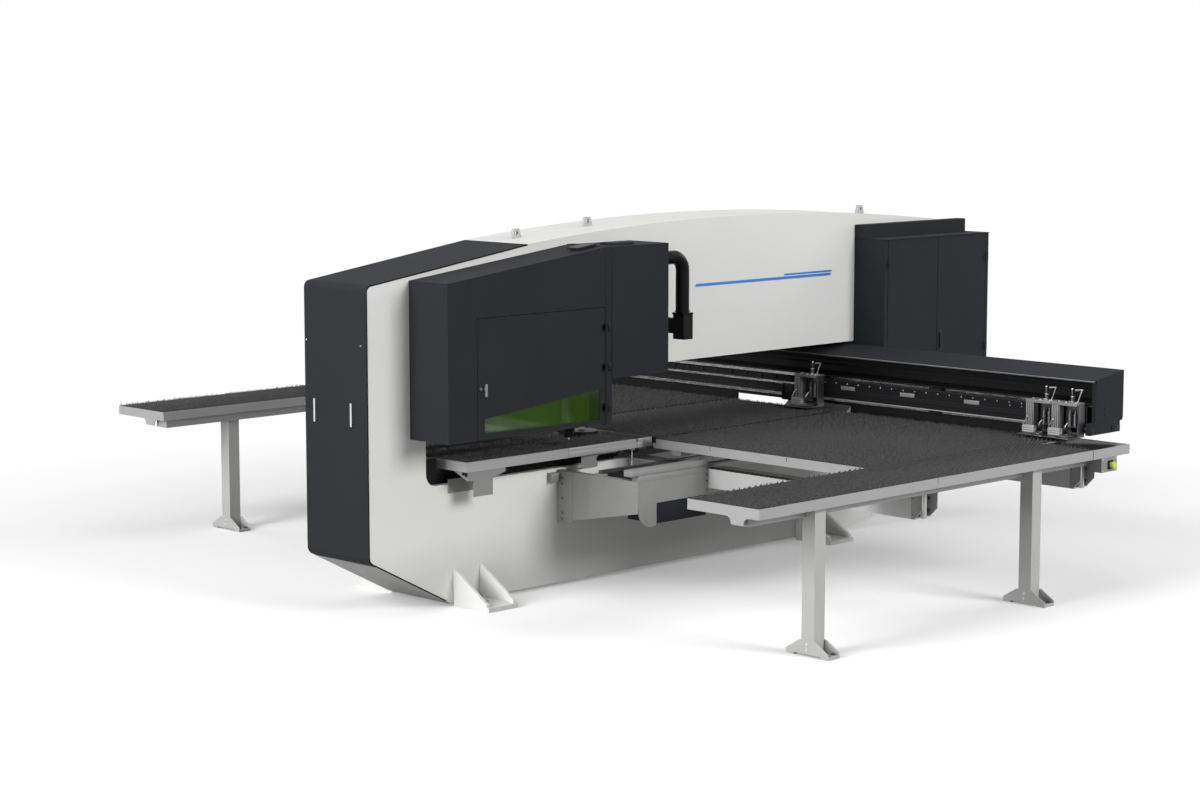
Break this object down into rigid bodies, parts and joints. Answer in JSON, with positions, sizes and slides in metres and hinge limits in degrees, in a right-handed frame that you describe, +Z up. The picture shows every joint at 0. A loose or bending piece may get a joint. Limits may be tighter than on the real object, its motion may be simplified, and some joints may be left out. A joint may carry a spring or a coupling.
{
  "type": "punch and laser combination machine",
  "caption": "Bridge-frame sheet-metal punch press with a side laser head, brush tables and a clamp-carrying feed beam that slides through the long throat.",
  "frame": {"origin": "centre of the four anchor holes of the frame's feet, on the floor", "axes": "+Z up, +Y along the frame to the back, +X across the frame to the side with the laser head, along the feed beam"},
  "size_m": [6.476, 5.95, 2.4259],
  "materials": {
    "white_paint": "satin powder coat",
    "dark_paint": "fine textured powder coat",
    "grey_paint": "satin",
    "table_rim": "satin",
    "brush": "matte bristle",
    "bright_steel": "ground",
    "machined_steel": "machined",
    "dark_steel": "blackened",
    "black_paint": "satin",
    "black_rubber": "matte",
    "black_plastic": "matte",
    "zinc_plate": "zinc plated",
    "aluminium": "anodised",
    "green_glass": "tinted laser safety glass",
    "lime_plastic": "gloss"
  },
  "bodies": {
    "base": {"side_plate_right": "white_paint", "side_plate_left": "white_paint", "lower_box": "white_paint", "upper_box": "white_paint", "frame_feet": "white_paint", "front_cover": "dark_paint", "top_cover": "dark_paint", "nose_plate": "grey_paint", "grip_strips": "bright_steel", "lifting_lugs": "white_paint", "head_enclosure": "dark_paint", "tall_cover": "dark_paint", "conduit": "black_rubber", "hinge_leaves": "black_paint", "cabinet": "dark_paint", "cabinet_header": "dark_paint", "panel_plate": "zinc_plate", "punch_cylinder": "dark_steel", "die_bed": "dark_steel", "tool_motor": "black_paint", "laser_slide": "machined_steel", "strip_tables": "table_rim", "strip_brackets": "grey_paint", "centre_table": "table_rim", "outer_table_right": "table_rim", "outer_table_left": "table_rim", "end_plate": "table_rim", "table_legs": "grey_paint", "leg_shoes": "grey_paint", "support_arms": "grey_paint", "table_brackets": "grey_paint", "y_rails": "bright_steel", "safety_box": "grey_paint", "brush_fixed": "brush"},
    "y_stage": {"x_beam": "black_paint", "beam_lid": "dark_paint", "x_rails": "bright_steel", "moving_table_right": "table_rim", "moving_table_left": "table_rim", "y_blocks": "black_paint", "brush_moving": "brush"},
    "x_carriage": {"clamp_rail": "black_paint", "clamp_3": "machined_steel"},
    "clamp_one": {"clamp_1": "machined_steel"},
    "clamp_two": {"clamp_2": "machined_steel"},
    "jaw_one": {"clamp_1_jaw": "dark_steel"},
    "jaw_two": {"clamp_2_jaw": "dark_steel"},
    "jaw_three": {"clamp_3_jaw": "dark_steel"},
    "head_door": {"door": "dark_paint", "door_window": "green_glass"},
    "latch": {"latch_lever": "bright_steel"},
    "cab_door_front": {"cabinet_door_a": "dark_paint"},
    "cab_door_rear": {"cabinet_door_b": "dark_paint"},
    "cab_handle": {"cabinet_handle": "black_plastic"},
    "ram": {"punch_ram": "bright_steel"},
    "tool": {"tool_holder": "machined_steel"},
    "die": {"die_holder": "machined_steel"},
    "laser": {"laser_head": "aluminium"},
    "flap": {"trap_flap": "table_rim"},
    "button": {"safety_button": "lime_plastic"}
  },
  "joints": [
    {"name": "y_axis", "type": "slide", "parent": "base", "child": "y_stage", "axis": [0, 1, 0], "range_m": [-1.6, 0]},
    {"name": "x_axis", "type": "slide", "parent": "y_stage", "child": "x_carriage", "axis": [1, 0, 0], "range_m": [-3.05, 0]},
    {"name": "clamp_one_shift", "type": "slide", "parent": "x_carriage", "child": "clamp_one", "axis": [1, 0, 0], "range_m": [0, 1.2]},
    {"name": "clamp_two_shift", "type": "slide", "parent": "x_carriage", "child": "clamp_two", "axis": [1, 0, 0], "range_m": [-0.6, 0]},
    {"name": "jaw_one_open", "type": "hinge", "parent": "clamp_one", "child": "jaw_one", "pos_m": [0.3, 1.7447, 0.996], "axis": [-1, 0, 0], "range_deg": [0, 15]},
    {"name": "jaw_two_open", "type": "hinge", "parent": "clamp_two", "child": "jaw_two", "pos_m": [2.37, 1.7447, 0.996], "axis": [-1, 0, 0], "range_deg": [0, 15]},
    {"name": "jaw_three_open", "type": "hinge", "parent": "x_carriage", "child": "jaw_three", "pos_m": [2.58, 1.7447, 0.996], "axis": [-1, 0, 0], "range_deg": [0, 15]},
    {"name": "head_door_swing", "type": "hinge", "parent": "base", "child": "head_door", "pos_m": [0.6753, -0.784, 1.5], "axis": [0, 0, 1], "range_deg": [0, 110]},
    {"name": "latch_turn", "type": "hinge", "parent": "head_door", "child": "latch", "pos_m": [0.668, -1.848, 1.44], "axis": [1, 0, 0], "range_deg": [0, 90]},
    {"name": "cab_door_front_swing", "type": "hinge", "parent": "base", "child": "cab_door_front", "pos_m": [0.6023, 2.215, 1.3], "axis": [0, 0, -1], "range_deg": [0, 90]},
    {"name": "cab_door_rear_swing", "type": "hinge", "parent": "base", "child": "cab_door_rear", "pos_m": [0.6023, 3.394, 1.3], "axis": [0, 0, 1], "range_deg": [0, 110]},
    {"name": "cab_handle_turn", "type": "hinge", "parent": "cab_door_rear", "child": "cab_handle", "pos_m": [0.595, 2.8445, 1.44], "axis": [1, 0, 0], "range_deg": [0, 90]},
    {"name": "ram_stroke", "type": "slide", "parent": "base", "child": "ram", "axis": [0, 0, 1], "range_m": [-0.03, 0]},
    {"name": "tool_turn", "type": "hinge", "parent": "ram", "child": "tool", "pos_m": [0, -0.35, 1.1], "axis": [0, 0, 1], "range_deg": [-180, 180]},
    {"name": "die_turn", "type": "hinge", "parent": "base", "child": "die", "pos_m": [0, -0.35, 0.9], "axis": [0, 0, 1], "range_deg": [-180, 180]},
    {"name": "laser_height", "type": "slide", "parent": "base", "child": "laser", "axis": [0, 0, 1], "range_m": [-0.03, 0.12]},
    {"name": "flap_drop", "type": "hinge", "parent": "base", "child": "flap", "pos_m": [0.322, -0.6, 0.8797], "axis": [0, 1, 0], "range_deg": [0, 35]},
    {"name": "button_press", "type": "slide", "parent": "base", "child": "button", "axis": [1, 0, 0], "range_m": [-0.005, 0], "stiffness_N_per_m": 800}
  ],
  "couplings": [
    {"joint": "die_turn", "follows": "tool_turn", "ratio": 1}
  ]
}
